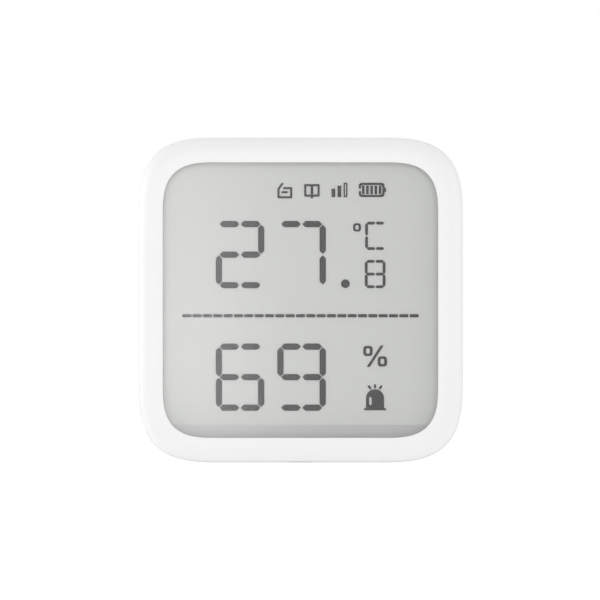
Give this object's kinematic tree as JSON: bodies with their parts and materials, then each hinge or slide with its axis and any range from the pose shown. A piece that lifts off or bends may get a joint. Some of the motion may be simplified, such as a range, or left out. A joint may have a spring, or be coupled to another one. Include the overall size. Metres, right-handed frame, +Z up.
{
  "type": "temperature and humidity sensor",
  "caption": "Square white sensor with rounded corners and a segment display for temperature and humidity, hinged open at the top for its cells.",
  "frame": {"origin": "middle of the width and the depth, on the surface that the case stands on", "axes": "+Z up, the display faces -Y, +X to the right of someone who reads it"},
  "size_m": [0.065, 0.022, 0.065],
  "materials": {
    "white_abs": "fine moulded texture",
    "clear_acrylic": "polished, clear",
    "foam_tape": "matte",
    "polariser_film": "satin film",
    "display_glass": "polished",
    "seal_epoxy": "satin",
    "driven_segments": "matte, dark",
    "reflector_film": "diffuse grey film",
    "grey_abs": "moulded",
    "zebra_silicone": "matte, fine stripes",
    "board_laminate": "green solder mask",
    "tinned_steel": "satin",
    "chip_epoxy": "matte",
    "copper_wire": "bare copper",
    "capacitor_sleeve": "satin sleeve",
    "capacitor_ceramic": "ceramic",
    "switch_nylon": "moulded",
    "button_nylon": "moulded",
    "black_abs": "moulded",
    "cell_can": "printed film over a can"
  },
  "bodies": {
    "housing": {"rear_housing": "white_abs"},
    "tamper_plunger": {"tamper_plunger": "button_nylon"},
    "pairing_button": {"pairing_button": "button_nylon"},
    "front_unit": {"front_cover": "white_abs", "window_lens": "clear_acrylic", "lens_tape": "foam_tape", "lcd_polariser": "polariser_film", "lcd_front_glass": "display_glass", "lcd_seal": "seal_epoxy", "lcd_temperature_digits": "driven_segments", "lcd_small_signs": "driven_segments", "lcd_humidity_digits": "driven_segments", "lcd_divider": "driven_segments", "lcd_icons": "driven_segments", "lcd_rear_glass": "display_glass", "lcd_reflector": "reflector_film", "lcd_frame": "grey_abs", "zebra_strip": "zebra_silicone", "main_board": "board_laminate", "radio_shield": "tinned_steel", "radio_chip": "chip_epoxy", "controller_chip": "chip_epoxy", "crystal": "tinned_steel", "sensor_chip": "chip_epoxy", "antenna_coil": "copper_wire", "bulk_capacitor": "capacitor_sleeve", "chip_capacitors": "capacitor_ceramic", "chip_resistors": "chip_epoxy", "tamper_switch": "switch_nylon", "pairing_switch": "switch_nylon", "battery_holder": "black_abs", "battery_cells": "cell_can", "battery_springs": "tinned_steel", "battery_plates": "tinned_steel", "bridge_strip": "tinned_steel", "board_screws": "tinned_steel"}
  },
  "joints": [
    {"name": "front_tilt", "type": "hinge", "parent": "housing", "child": "front_unit", "pos_m": [0, -0.006, 0.0634], "axis": [-1, 0, 0], "range_deg": [0, 20]},
    {"name": "tamper_travel", "type": "slide", "parent": "front_unit", "child": "tamper_plunger", "axis": [0, 1, 0], "range_m": [0, 0.0015]},
    {"name": "pairing_press", "type": "slide", "parent": "front_unit", "child": "pairing_button", "axis": [0, -1, 0], "range_m": [0, 0.00025], "stiffness_N_per_m": 2000}
  ],
  "couplings": [
    {"joint": "tamper_travel", "follows": "front_tilt", "m_per_rad": 0.0042}
  ]
}
